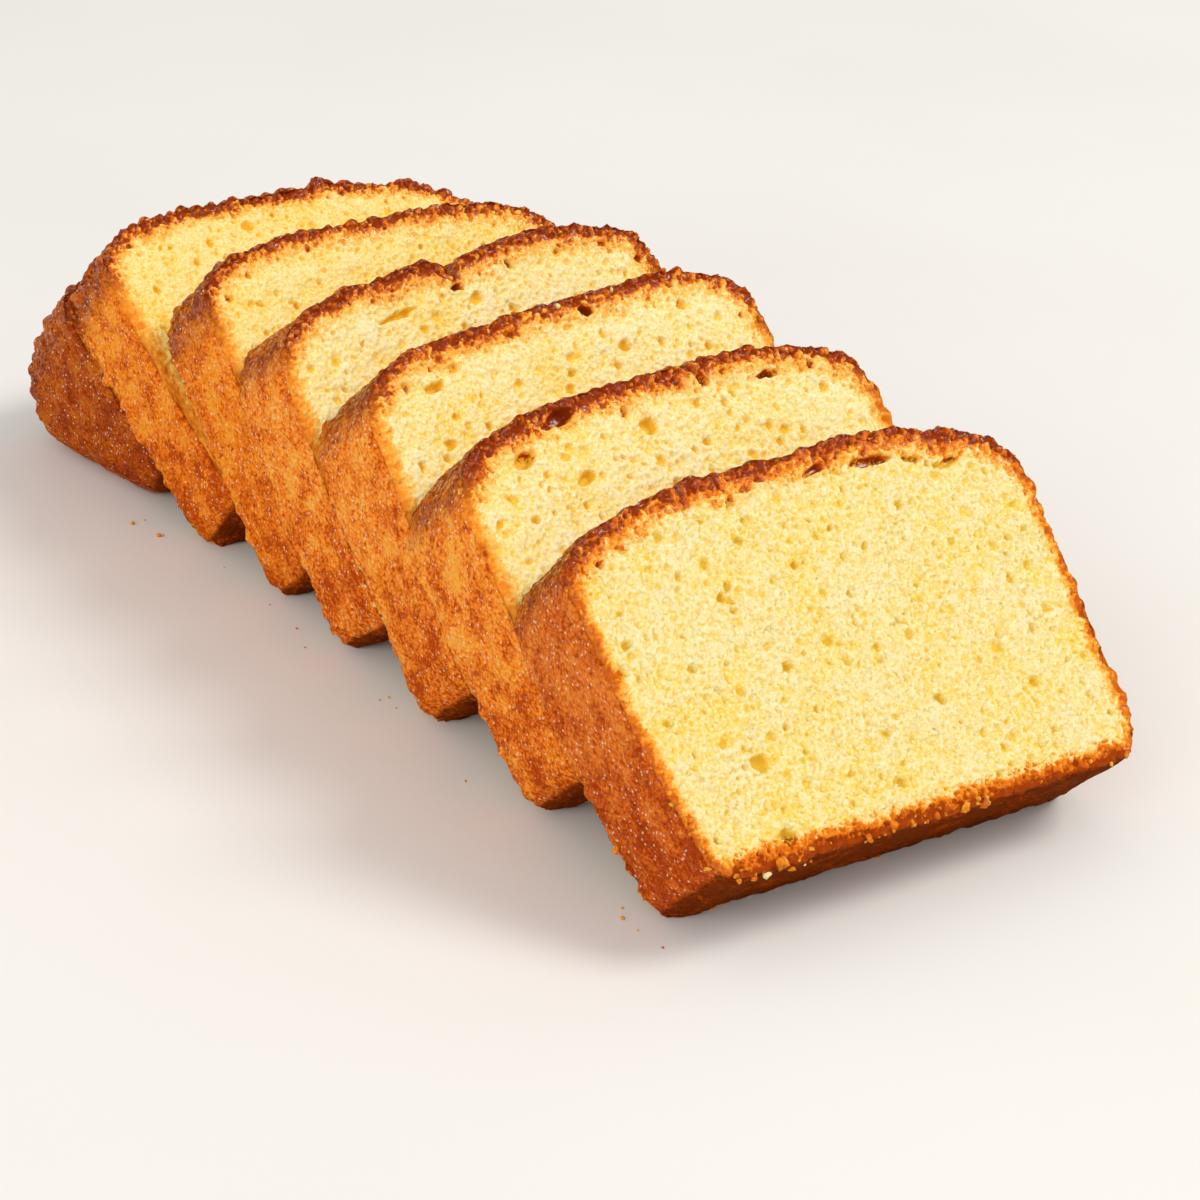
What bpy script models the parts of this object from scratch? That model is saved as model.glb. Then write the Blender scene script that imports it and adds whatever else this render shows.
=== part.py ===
"""A pound cake loaf, sliced and toppled back like dominoes.

The end piece has rolled over onto its end crust. Six slices lean back on it in a row, the last
one on its cut face, each with its lower back edge on the ground. +Z is up, +X runs across the
loaf and +Y runs along the row to the end piece. Lengths are in metres, and the origin is at the
middle of the footprint, on the ground.
"""

import math
from typing import NamedTuple

import bmesh
import bpy
from mathutils import Euler, Vector, noise

MM = 0.001
NAME = "pound_cake_loaf"

# The loaf's section: a tin gives the base and the sides, the oven the crown.
BASE_HALF_WIDTH = 45 * MM
FOOT_RADIUS = 7 * MM
SIDE_FULLNESS = 1.6
FOOT_POINTS = 4
SIDE_POINTS = 8
CROWN_POINTS = 45

# Crust relief, as heights of low lumps over the smooth section.
SIDE_LUMPS = 0.25 * MM
CROWN_LUMPS = 0.8 * MM
LUMP_LENGTH = 9 * MM

# How the pieces meet.
CONTACT_GAP = 0.4 * MM
CRUSH_DEPTH = 0.6 * MM
SLICE_LAYERS = 5


class Section(NamedTuple):
    """The outline of one cut through the loaf."""

    shoulder: float                  # height where the side meets the crown
    crown: float                     # height of the crown
    flare: tuple[float, float]       # how far each side stands out, left and right
    squareness: tuple[float, float]  # of each shoulder: 2 is round, 5 nearly square
    bumps: tuple[tuple[float, float, float], ...] = ()  # on the crown: place, rise and width


class Slice(NamedTuple):
    """One slice, and how it leans."""

    name: str
    lean: float       # degrees back from upright
    turn: float       # degrees about the vertical
    thickness: float
    shift: float      # of its middle, along X
    section: Section


# From the front of the row to the back.
SLICES = (
    Slice("slice_1", 46.5, -2.0, 23.0 * MM, 3.0 * MM,
          Section(51 * MM, 66.5 * MM, (5.0 * MM, 0.5 * MM), (2.4, 3.3),
                  bumps=((14 * MM, 1.7 * MM, 13 * MM),))),
    Slice("slice_2", 44.0, 2.5, 23.0 * MM, 3.0 * MM,
          Section(47 * MM, 66.5 * MM, (2.5 * MM, 2.2 * MM), (3.0, 4.6),
                  bumps=((18 * MM, 1.2 * MM, 14 * MM),))),
    Slice("slice_3", 42.0, 3.0, 24.0 * MM, 3.0 * MM,
          Section(50 * MM, 68.5 * MM, (1.5 * MM, 2.0 * MM), (2.5, 4.4),
                  bumps=((-17 * MM, -1.5 * MM, 14 * MM), (25 * MM, 1.4 * MM, 13 * MM)))),
    Slice("slice_4", 36.0, 6.0, 19.6 * MM, 2.5 * MM,
          Section(50 * MM, 68.5 * MM, (2.0 * MM, 3.0 * MM), (2.5, 4.4),
                  bumps=((-2.5 * MM, -2.6 * MM, 2.6 * MM), (-22 * MM, -1.2 * MM, 12 * MM),
                         (22 * MM, 1.4 * MM, 14 * MM)))),
    Slice("slice_5", 41.5, 6.5, 20.5 * MM, 2.0 * MM,
          Section(51 * MM, 68.5 * MM, (0.5 * MM, 0.5 * MM), (3.6, 2.8))),
    Slice("slice_6", 51.5, 6.5, 20.5 * MM, -0.5 * MM,
          Section(52 * MM, 70.0 * MM, (2.0 * MM, 3.5 * MM), (3.8, 2.3))),
)

# The end piece: a wedge, thin at the loaf's base and thick at its crown, which swells out.
# Its end crust is flat on the ground, and its cut face leans back.
END_NAME = "end_piece"
END_SECTION = Section(41 * MM, 54.5 * MM, (2.5 * MM, 1.5 * MM), (2.4, 3.0))
END_BASE_THICKNESS = 15 * MM
END_CUT_LEAN = 52.5
END_TURN = 6.0
END_SHIFT = -3.2 * MM
END_STRETCH = 0.91
END_SWELL = 12.5 * MM
END_EDGE_RADIUS = 8 * MM
END_LAYERS = (0.0, 0.02, 0.06, 0.12, 0.2, 0.32, 0.5, 0.75, 1.0)
END_TAPER = 0.97

# Colours of the crumb and of the crust, linear RGB.
CRUMB = (0.86, 0.62, 0.22, 1.0)
CRUST = (0.46, 0.15, 0.03, 1.0)


def clear_scene() -> None:
    """Remove what a new file starts with."""
    for thing in list(bpy.data.objects):
        bpy.data.objects.remove(thing, do_unlink=True)


def new_collection(name: str) -> bpy.types.Collection:
    """Add a collection to the scene."""
    collection = bpy.data.collections.new(name)
    bpy.context.scene.collection.children.link(collection)
    return collection


def cake_material(name: str, colour: tuple[float, ...]) -> bpy.types.Material:
    """A matt baked surface."""
    material = bpy.data.materials.new(name)
    material.use_nodes = True
    shader = material.node_tree.nodes["Principled BSDF"]
    shader.inputs["Base Color"].default_value = colour
    shader.inputs["Roughness"].default_value = 0.75
    shader.inputs["Metallic"].default_value = 0.0
    return material


def section_outline(section: Section) -> list[Vector]:
    """The outline from the left foot over the crown to the right foot, as (across, height)."""
    points = []
    for side in (0, 1):
        sign = (-1, 1)[side]
        flare = section.flare[side]
        half = []
        for step in range(FOOT_POINTS):
            angle = math.pi / 2 * step / FOOT_POINTS
            half.append((BASE_HALF_WIDTH - FOOT_RADIUS * (1 - math.sin(angle)),
                         FOOT_RADIUS * (1 - math.cos(angle))))
        for step in range(SIDE_POINTS):
            up = step / SIDE_POINTS
            half.append((BASE_HALF_WIDTH + flare * (1 - (1 - up) ** SIDE_FULLNESS),
                         FOOT_RADIUS + (section.shoulder - FOOT_RADIUS) * up))
        power = 2 / section.squareness[side]
        for step in range(CROWN_POINTS // 2 + side):
            angle = math.pi / 2 * step / (CROWN_POINTS // 2)
            rise = section.crown - section.shoulder
            half.append(((BASE_HALF_WIDTH + flare) * max(math.cos(angle), 0.0) ** power,
                         section.shoulder + rise * math.sin(angle) ** power))
        half = [Vector((sign * across, height)) for across, height in half]
        points += half if side == 0 else half[::-1]
    return points


def baked(section: Section, point: Vector, depth: float, seed: float) -> Vector:
    """Move a point of the outline by the crust's lumps and by the section's own bumps."""
    across, height = point
    crown = min(max((height - section.shoulder) / (section.crown - section.shoulder), 0.0), 1.0)
    lumps = SIDE_LUMPS + (CROWN_LUMPS - SIDE_LUMPS) * crown
    where = Vector((across, height, depth)) / LUMP_LENGTH + Vector((0, 0, seed))
    low = min(height / FOOT_RADIUS, 1.0)
    outward = Vector((across / BASE_HALF_WIDTH * (1 - crown), crown)).normalized()
    moved = point + outward * (lumps * low * (noise.noise(where) - 0.4))
    for place, rise, width in section.bumps:
        moved.y += crown * rise * math.exp(-(((across - place) / width) ** 2))
    return moved


def loft(name: str, layers: list[list[Vector]]) -> bpy.types.Mesh:
    """A closed solid through layers of equally many points, by extruding a disc again and again."""
    model = bmesh.new()
    bmesh.ops.create_circle(model, cap_ends=True, segments=len(layers[0]), radius=1.0)
    model.faces.ensure_lookup_table()
    cap = model.faces[0]
    for vert, place in zip(cap.verts, layers[0]):
        vert.co = place
    for layer in layers[1:]:
        grown = bmesh.ops.extrude_face_region(model, geom=[cap])
        bmesh.ops.delete(model, geom=[cap], context="FACES_ONLY")
        cap = next(item for item in grown["geom"] if isinstance(item, bmesh.types.BMFace))
        for vert, place in zip(cap.verts, layer):
            vert.co = place
    bmesh.ops.holes_fill(model, edges=model.edges)
    bmesh.ops.recalc_face_normals(model, faces=model.faces)
    mesh = bpy.data.meshes.new(name)
    model.to_mesh(mesh)
    model.free()
    return mesh


def add_piece(name: str, mesh: bpy.types.Mesh, collection: bpy.types.Collection,
              material: bpy.types.Material, board: bpy.types.Object) -> bpy.types.Object:
    """Put a piece in the scene, smooth but for its cut edges, and crush it on the ground."""
    piece = bpy.data.objects.new(name, mesh)
    collection.objects.link(piece)
    mesh.materials.append(material)
    mesh.shade_smooth()
    mesh.set_sharp_from_angle(angle=math.radians(40))
    crush = piece.modifiers.new("crushed_edge", "BOOLEAN")
    crush.operation = "DIFFERENCE"
    crush.object = board
    return piece


def slice_layers(cake: Slice, seed: float) -> list[list[Vector]]:
    """The slice's own points: its back face is at Y = 0, and its base at Z = 0."""
    outline = section_outline(cake.section)
    layers = []
    for number in range(SLICE_LAYERS + 1):
        depth = cake.thickness * (number / SLICE_LAYERS - 1)
        flat = [baked(cake.section, point, depth, seed) for point in outline]
        layers.append([Vector((across, depth, height)) for across, height in flat])
    return layers


def end_layers(seed: float) -> list[list[Vector]]:
    """The end piece's own points, from its end crust on the ground to its leaning cut face."""
    outline = section_outline(END_SECTION)
    lean = math.radians(END_CUT_LEAN)
    up_cut = Vector((0.0, math.sin(lean), math.cos(lean)))
    to_cut = Vector((0.0, -math.cos(lean), math.sin(lean))) * END_BASE_THICKNESS
    middle = Vector((0.0, END_SECTION.crown / 2))
    layers = []
    for share in END_LAYERS:
        layer = []
        for point in outline:
            across, height = baked(END_SECTION, point, share * END_BASE_THICKNESS, seed)
            on_end = Vector((across * END_TAPER, height * END_STRETCH, 0.0))
            on_cut = Vector((across, 0.0, 0.0)) + to_cut + up_cut * height
            place = on_end.lerp(on_cut, share)
            place.y += END_SWELL * math.sin(math.pi * share) * height / END_SECTION.crown
            into_edge = max(END_EDGE_RADIUS - place.z, 0.0)
            inset = END_EDGE_RADIUS - math.sqrt(END_EDGE_RADIUS ** 2 - into_edge ** 2)
            inward = (middle - point).normalized() * inset
            layer.append(place + Vector((inward.x, inward.y, 0.0)))
        layers.append(layer)
    return layers


def in_place(cake: Slice, row_place: float, points: list[Vector]) -> list[Vector]:
    """A slice's points in the row, with its lower back edge at row_place."""
    turn = slice_turn(cake).to_matrix()
    return [turn @ point + Vector((cake.shift, row_place, -CRUSH_DEPTH)) for point in points]


def slice_turn(cake: Slice) -> Euler:
    """The slice's lean and turn."""
    return Euler((-math.radians(cake.lean), 0.0, math.radians(cake.turn)))


def face_normal(cake: Slice) -> Vector:
    """Which way the slice's back face looks."""
    return slice_turn(cake).to_matrix() @ Vector((0.0, 1.0, 0.0))


def push_forward(points: list[Vector], on_plane: Vector, normal: Vector) -> float:
    """How far along -Y a plane moves for all the points to lie clear behind it."""
    nearest = min((point - on_plane).dot(normal) for point in points)
    return (CONTACT_GAP - nearest) / normal.y


def row_places(end_points: list[Vector]) -> list[float]:
    """Lay the slices from the end piece forwards, each as close as it goes to the one behind."""
    places = []
    behind = None
    for cake in reversed(SLICES):
        layers = slice_layers(cake, seed_of(cake))
        normal = face_normal(cake)
        if behind is None:
            start = 0.0
            back = in_place(cake, start, layers[-1])
            push = push_forward(end_points, back[0], normal)
        else:
            other, other_place, other_front = behind
            start = other_place
            back = in_place(cake, start, layers[-1])
            top = max(point.z for point in back)
            low = min(point.z for point in other_front)
            facing = [point for point in other_front if point.z < top]
            push = push_forward(facing, back[0], normal)
            # The slice's back edge may meet the other's face first.
            reached = [point for point in back if point.z > low]
            other_normal = face_normal(other)
            farthest = max((point - other_front[0]).dot(other_normal) for point in reached)
            push = max(push, (CONTACT_GAP + farthest) / other_normal.y)
        place = start - push
        places.insert(0, place)
        behind = (cake, place, in_place(cake, place, layers[0]))
    return places


def seed_of(cake: Slice) -> float:
    """Another crust for each slice."""
    return 3.7 * (1 + SLICES.index(cake))


def centre_on_ground(pieces: list[bpy.types.Object]) -> None:
    """Shift the whole so that the origin is at the middle of its footprint."""
    bpy.context.view_layer.update()
    corners = []
    for piece in pieces:
        corners += [piece.matrix_world @ vert.co for vert in piece.data.vertices]
    middle = Vector([(min(c[axis] for c in corners) + max(c[axis] for c in corners)) / 2
                     for axis in (0, 1)])
    for piece in pieces:
        piece.location.x -= middle.x
        piece.location.y -= middle.y


def add_board(collection: bpy.types.Collection) -> bpy.types.Object:
    """The ground, as a cutter that gives each resting edge its flat."""
    bpy.ops.mesh.primitive_cube_add(size=1.0, location=(0.0, 0.0, -0.05))
    board = bpy.context.object
    board.name = "ground_cutter"
    board.scale = (0.6, 0.8, 0.1)
    bpy.ops.object.transform_apply(location=True, rotation=True, scale=True)
    for owner in list(board.users_collection):
        owner.objects.unlink(board)
    collection.objects.link(board)
    board.hide_render = True
    board.display_type = "WIRE"
    return board


def main() -> None:
    """Build the loaf."""
    clear_scene()
    parts = new_collection(NAME)
    board = add_board(new_collection("cutters"))
    pieces = []

    end_points = end_layers(seed=1.3)
    end_mesh = loft(END_NAME, end_points)
    end_piece = add_piece(END_NAME, end_mesh, parts, cake_material("end_piece_crust", CRUST), board)
    end_piece.rotation_euler.z = math.radians(END_TURN)
    end_piece.location = (END_SHIFT, 0.0, -CRUSH_DEPTH / 4)
    pieces.append(end_piece)

    turn = end_piece.rotation_euler.to_matrix()
    turned = [turn @ point + end_piece.location for layer in end_points for point in layer]
    for cake, place in zip(SLICES, row_places(turned)):
        mesh = loft(cake.name, slice_layers(cake, seed_of(cake)))
        piece = add_piece(cake.name, mesh, parts, cake_material(cake.name + "_crumb", CRUMB), board)
        piece.rotation_euler = slice_turn(cake)
        piece.location = (cake.shift, place, -CRUSH_DEPTH)
        pieces.append(piece)

    centre_on_ground(pieces)


main()
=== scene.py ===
"""Looks for a pound cake loaf, sliced and toppled back like dominoes on its end piece.

Each piece is cut from its own solid of the frame: it is stood upright in a working frame of its
own, in millimetres, remeshed finely, given its pores, holes, crust and crumbly edges there, and
put back in the row. In the working frame +X runs across the loaf, +Z up to the crown, and +Y
into the piece from its front cut face.
"""

import logging
import math
from dataclasses import dataclass, field, replace
from enum import Enum

import bpy
import numpy as np
from mathutils import Matrix, Vector


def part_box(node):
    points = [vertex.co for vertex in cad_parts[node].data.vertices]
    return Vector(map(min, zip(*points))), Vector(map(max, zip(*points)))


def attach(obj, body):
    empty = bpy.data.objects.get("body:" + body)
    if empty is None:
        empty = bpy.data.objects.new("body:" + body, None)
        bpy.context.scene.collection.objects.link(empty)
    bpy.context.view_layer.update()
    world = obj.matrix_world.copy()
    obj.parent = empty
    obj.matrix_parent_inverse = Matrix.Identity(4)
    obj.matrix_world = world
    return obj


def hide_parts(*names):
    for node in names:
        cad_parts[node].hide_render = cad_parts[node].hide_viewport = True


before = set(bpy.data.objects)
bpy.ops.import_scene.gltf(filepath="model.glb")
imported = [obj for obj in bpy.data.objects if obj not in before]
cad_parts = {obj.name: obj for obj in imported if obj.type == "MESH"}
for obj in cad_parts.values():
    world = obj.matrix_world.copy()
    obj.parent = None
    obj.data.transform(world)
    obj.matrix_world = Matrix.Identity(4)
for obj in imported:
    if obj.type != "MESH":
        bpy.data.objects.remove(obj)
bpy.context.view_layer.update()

log = logging.getLogger("pound_cake_loaf")

MM = 0.001
FAR_OFF = 9e9
GRAIN_MM = 0.62
SPOT_MM = 0.95
BEAD_MM = 1.3
Colour = tuple[float, float, float]


# ---------------------------------------------------------------------------------------------
# Small helpers


def select_only(piece: bpy.types.Object) -> None:
    """Select one object and make it the active one.

    Args:
        piece: The object.
    """
    bpy.ops.object.select_all(action="DESELECT")
    piece.select_set(True)
    bpy.context.view_layer.objects.active = piece


def apply_modifier(piece: bpy.types.Object, modifier: bpy.types.Modifier) -> None:
    """Make a modifier's result the piece's own mesh."""
    select_only(piece)
    bpy.ops.object.modifier_apply(modifier=modifier.name)


def places_of(mesh: bpy.types.Mesh) -> np.ndarray:
    """The vertices' places, as rows of three.

    Args:
        mesh: The mesh.

    Returns:
        The places.
    """
    places = np.zeros(len(mesh.vertices) * 3, np.float32)
    mesh.vertices.foreach_get("co", places)
    return places.reshape(-1, 3).astype(float)


def normals_of(mesh: bpy.types.Mesh) -> np.ndarray:
    """The vertices' normals, as rows of three.

    Args:
        mesh: The mesh.

    Returns:
        The normals.
    """
    normals = np.zeros(len(mesh.vertices) * 3, np.float32)
    mesh.vertices.foreach_get("normal", normals)
    return normals.reshape(-1, 3).astype(float)


def set_places(mesh: bpy.types.Mesh, places: np.ndarray) -> None:
    """Move the vertices to new places."""
    mesh.vertices.foreach_set("co", places.astype(np.float32).ravel())
    mesh.update()


def store(mesh: bpy.types.Mesh, name: str, values: np.ndarray) -> None:
    """Keep one number for each vertex as an attribute that the finishes read."""
    attribute = mesh.attributes.get(name) or mesh.attributes.new(name, "FLOAT", "POINT")
    attribute.data.foreach_set("value", values.astype(np.float32))


def smooth_step(low: float, high: float, values: np.ndarray) -> np.ndarray:
    """Rise softly from 0 at low to 1 at high."""
    share = np.clip((values - low) / (high - low), 0.0, 1.0)
    return share * share * (3 - 2 * share)


# ---------------------------------------------------------------------------------------------
# Finishes


class Graph:
    """Adds shader nodes to one material and links them."""

    def __init__(self, name: str) -> None:
        """Start a material with only its Principled shader.

        Args:
            name: The material's name.
        """
        self.material = bpy.data.materials.new(name)
        self.material.use_nodes = True
        self.tree = self.material.node_tree
        self.shader = self.tree.nodes["Principled BSDF"]
        self.position = self.tree.nodes.new("ShaderNodeTexCoord").outputs["Object"]
        self.cell_nodes: dict[float, bpy.types.Node] = {}

    def link(self, target: bpy.types.NodeSocket, value: object) -> None:
        """Link a socket into the target, or set the target to a number or colour.

        Args:
            target: The socket to feed.
            value: A socket, a number, a colour or a vector.
        """
        if isinstance(value, bpy.types.NodeSocket):
            self.tree.links.new(value, target)
        elif isinstance(value, tuple) and len(value) == 3 and target.type == "RGBA":
            target.default_value = (*value, 1.0)
        else:
            target.default_value = value

    def math(self, operation: str, first: object,
             second: object = 0.0) -> bpy.types.NodeSocket:
        """One step of arithmetic.

        Args:
            operation: Its name, as the node has it.
            first: The first value.
            second: The second value.

        Returns:
            The result.
        """
        node = self.tree.nodes.new("ShaderNodeMath")
        node.operation = operation
        for socket, value in zip(node.inputs, (first, second)):
            self.link(socket, value)
        return node.outputs[0]

    def plus(self, base: object, value: object, weight: float) -> bpy.types.NodeSocket:
        """Add a weighted value to another."""
        return self.math("ADD", base, self.math("MULTIPLY", value, weight))

    def attribute(self, name: str) -> bpy.types.NodeSocket:
        """A number that the mesh keeps for each vertex.

        Args:
            name: The attribute's name.

        Returns:
            The number.
        """
        node = self.tree.nodes.new("ShaderNodeAttribute")
        node.attribute_name = name
        return node.outputs["Fac"]

    def noise(self, size_mm: float, detail: float = 2.0, roughness: float = 0.5,
              shift: float = 0.0) -> bpy.types.NodeSocket:
        """Soft noise with lumps of about the given size, from 0 to 1.

        Args:
            size_mm: The size, in millimetres.
            detail: How many finer layers it has.
            roughness: How strong the finer layers are.
            shift: Sets one pattern apart from another.

        Returns:
            The noise.
        """
        node = self.tree.nodes.new("ShaderNodeTexNoise")
        self.link(node.inputs["Vector"], self.moved(shift))
        node.inputs["Scale"].default_value = 1.0 / (size_mm * MM)
        node.inputs["Detail"].default_value = detail
        node.inputs["Roughness"].default_value = roughness
        return node.outputs["Fac"]

    def centred(self, size_mm: float, detail: float = 2.0,
                shift: float = 0.0) -> bpy.types.NodeSocket:
        """Soft noise about 0."""
        return self.math("SUBTRACT", self.noise(size_mm, detail, 0.6, shift), 0.5)

    def own(self, size_mm: float) -> bpy.types.NodeSocket:
        """A number about 0 that is each cell's own."""
        return self.math("SUBTRACT", self.cells(size_mm, "Color"), 0.5)

    def cells(self, size_mm: float, output: str = "Distance") -> bpy.types.NodeSocket:
        """Cells of about the given size, made once for each size.

        Args:
            size_mm: The size, in millimetres.
            output: What to read of the cells.

        Returns:
            What was asked for.
        """
        if size_mm not in self.cell_nodes:
            node = self.tree.nodes.new("ShaderNodeTexVoronoi")
            self.link(node.inputs["Vector"], self.position)
            node.inputs["Scale"].default_value = 1.0 / (size_mm * MM)
            self.cell_nodes[size_mm] = node
        return self.cell_nodes[size_mm].outputs[output]

    def moved(self, shift: float) -> bpy.types.NodeSocket:
        """The place on the object, shifted so that two patterns don't line up.

        Args:
            shift: How far, in metres.

        Returns:
            The place.
        """
        node = self.tree.nodes.new("ShaderNodeMapping")
        self.link(node.inputs["Vector"], self.position)
        node.inputs["Location"].default_value = (shift, shift * 0.7, -shift * 0.4)
        return node.outputs[0]

    def range(self, value: object, low: float, high: float, start: float = 0.0,
              end: float = 1.0) -> bpy.types.NodeSocket:
        """Bring low..high to start..end, held at both ends.

        Args:
            value: The number to bring over.
            low: Where it starts.
            high: Where it ends.
            start: What low becomes.
            end: What high becomes.

        Returns:
            The number brought over.
        """
        node = self.tree.nodes.new("ShaderNodeMapRange")
        node.interpolation_type = "SMOOTHSTEP"
        for name, number in (("Value", value), ("From Min", low), ("From Max", high),
                             ("To Min", start), ("To Max", end)):
            self.link(node.inputs[name], number)
        return node.outputs[0]

    def ramp(self, value: object, *stops: tuple[float, Colour]) -> bpy.types.NodeSocket:
        """Turn a number into a colour.

        Args:
            value: The number.
            stops: Places from 0 to 1, each with its colour.

        Returns:
            The colour.
        """
        node = self.tree.nodes.new("ShaderNodeValToRGB")
        self.link(node.inputs["Fac"], value)
        elements = node.color_ramp.elements
        while len(elements) < len(stops):
            elements.new(0.5)
        for element, (place, colour) in zip(elements, stops):
            element.position = place
            element.color = (*colour, 1.0)
        return node.outputs["Color"]

    def mix(self, share: object, first: object, second: object) -> bpy.types.NodeSocket:
        """Mix two colours.

        Args:
            share: How much of the second.
            first: The first colour.
            second: The second colour.

        Returns:
            The mixed colour.
        """
        node = self.tree.nodes.new("ShaderNodeMix")
        node.data_type = "RGBA"
        self.link(node.inputs["Factor"], share)
        self.link(node.inputs["A"], first)
        self.link(node.inputs["B"], second)
        return node.outputs["Result"]

    def bump(self, height: object, distance_mm: float,
             under: object = None) -> bpy.types.NodeSocket:
        """Fine relief that the mesh is too coarse for.

        Args:
            height: The relief, from 0 to 1.
            distance_mm: How high 1 is.
            under: The normal of the relief under it.

        Returns:
            The normal.
        """
        node = self.tree.nodes.new("ShaderNodeBump")
        node.inputs["Distance"].default_value = distance_mm * MM
        node.inputs["Strength"].default_value = 1.0
        self.link(node.inputs["Height"], height)
        if under is not None:
            self.link(node.inputs["Normal"], under)
        return node.outputs["Normal"]


@dataclass(frozen=True)
class CakeFinish:
    """Crumb, crust and skin of one piece, from what its mesh keeps for each vertex.

    The mesh keeps: cut, 1 on a cut face and 0 on the loaf's skin; rim, millimetres in from the
    loaf's outline; crown and foot, how much the nearest skin is the loaf's top or its bottom;
    height, millimetres over the loaf's base; relief, millimetres sunk below the cut.
    """

    ridge: Colour = (0.87, 0.76, 0.44)
    crumb: Colour = (0.85, 0.66, 0.225)
    # The deeper crumb tones: the crumb's own yellow and painted shade in its pores.
    yolk_and_shade: Colour = (0.84, 0.60, 0.11)
    pore_shade: Colour = (0.78, 0.50, 0.045)
    cream: Colour = (0.88, 0.58, 0.15)
    golden: Colour = (0.88, 0.40, 0.045)
    orange: Colour = (0.78, 0.22, 0.012)
    rind: Colour = (0.56, 0.125, 0.010)
    toasted: Colour = (0.66, 0.145, 0.008)
    browned: Colour = (0.29, 0.036, 0.003)
    skin_pale: Colour = (0.82, 0.25, 0.034)
    skin_light: Colour = (0.68, 0.136, 0.013)
    skin_dark: Colour = (0.38, 0.045, 0.002)
    crown_skin: Colour = (0.22, 0.030, 0.003)
    # The underside: its browned bottom crust, darkened further as painted shade under the loaf.
    foot_skin_and_shade: Colour = (0.13, 0.020, 0.0015)
    # Pale painted highlights, mixed into the skin's colour on small spots.
    painted_glint: Colour = (0.95, 0.75, 0.52)
    darkening: float = 0.48
    boldness: float = 0.75
    side_crust_mm: float = 3.0
    crown_crust_mm: float = 5.8
    foot_crust_mm: float = 4.0

    def make(self, name: str) -> bpy.types.Material:
        """Build the material.

        Args:
            name: The material's name.

        Returns:
            The material.
        """
        graph = Graph(name)
        rim, relief, height = (graph.attribute(word) for word in ("rim", "relief", "height"))
        crown, foot, cut = (graph.attribute(word) for word in ("crown", "foot", "cut"))
        grains = graph.cells(GRAIN_MM)
        crumb = self.crumb_colour(graph, relief, grains)
        crust, depth = self.crust_colour(graph, rim, crown, foot, relief)
        skin, spots = self.skin_colour(graph, crown, foot, height)
        inside = graph.range(depth, 0.85, 1.1)
        face = graph.mix(inside, crust, crumb)
        torn = graph.plus(cut, graph.centred(0.9), 0.5)
        colour = graph.mix(graph.range(torn, 0.35, 0.65), skin, face)
        graph.link(graph.shader.inputs["Base Color"], colour)
        dry = graph.math("MAXIMUM", graph.math("MULTIPLY", cut, inside), foot)
        pitted = graph.math("MULTIPLY", cut, graph.range(relief, -0.4, 0.5))
        bold = graph.range(pitted, 0.0, 1.0, self.boldness, 0.12)
        self.surface(graph, cut, dry, crown, graph.math("MULTIPLY", grains, bold), spots)
        return graph.material

    def crumb_colour(self, graph: Graph, relief: bpy.types.NodeSocket,
                     grains: bpy.types.NodeSocket) -> bpy.types.NodeSocket:
        """Pale where the crumb stands out, deep yellow in its pores: painted shade and glow in the
        hollows over the crumb's own random tone.

        Args:
            graph: The material's nodes.
            relief: Millimetres sunk below the cut.
            grains: The grains' relief.

        Returns:
            The crumb's colour.
        """
        # Relief and the grains' cell borders push the tone to the deep yellows: painted shade and
        # glow in pores and creases.
        tone = graph.plus(graph.math("MULTIPLY", relief, 1.2), graph.centred(0.5, 3.0), 0.9)
        tone = graph.math("ADD", tone, graph.range(grains, 0.3, 0.75, -0.1, 0.55))
        tone = graph.plus(tone, graph.own(GRAIN_MM), 0.2)
        tone = graph.plus(tone, graph.centred(9.0, 3.0), 0.3)
        return graph.ramp(graph.range(tone, -0.5, 2.1), (0.0, self.ridge), (0.36, self.crumb),
                          (0.6, self.yolk_and_shade), (0.9, self.pore_shade))

    def crust_colour(self, graph: Graph, rim: bpy.types.NodeSocket, crown: bpy.types.NodeSocket,
                     foot: bpy.types.NodeSocket, relief: bpy.types.NodeSocket,
                     ) -> tuple[bpy.types.NodeSocket, bpy.types.NodeSocket]:
        """The browned band inside a cut's edge, with painted shade in its pits and painted
        highlights on its beads.

        Args:
            graph: The material's nodes.
            rim: Millimetres in from the outline.
            crown: How much the nearest skin is the top's.
            foot: How much the nearest skin is the bottom's.
            relief: Millimetres sunk below the cut.

        Returns:
            The band's colour, and the depth into it, 0 at the skin and 1 at its inner end.
        """
        thickness = graph.range(crown, 0.0, 1.0, self.side_crust_mm, self.crown_crust_mm)
        thickness = graph.plus(thickness, foot, self.foot_crust_mm - self.side_crust_mm)
        depth = graph.math("DIVIDE", rim, thickness)
        depth = graph.plus(depth, graph.centred(4.0, 3.0, 0.11), 0.9)
        depth = graph.plus(depth, graph.own(SPOT_MM), 0.5)
        depth = graph.plus(depth, graph.centred(0.6, 2.0, 0.31), 0.8)
        # Deeper relief darkens the band and raised beads lighten it: painted shade in its pits,
        # painted highlights on its beads.
        shaded_tone = graph.plus(depth, graph.math("MINIMUM", relief, 1.5), -0.5)
        shaded_tone = graph.math("SUBTRACT", shaded_tone, graph.math("MULTIPLY", foot, 0.22))
        top = graph.ramp(shaded_tone, (0.05, self.browned), (0.32, self.toasted), (0.5, self.orange),
                         (0.68, self.golden), (0.95, self.cream))
        side = graph.ramp(shaded_tone, (0.1, self.rind), (0.4, self.orange), (0.65, self.golden),
                          (0.95, self.cream))
        dark = graph.math("MAXIMUM", crown, graph.math("MULTIPLY", foot, 0.85))
        return graph.mix(dark, side, top), depth

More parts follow.
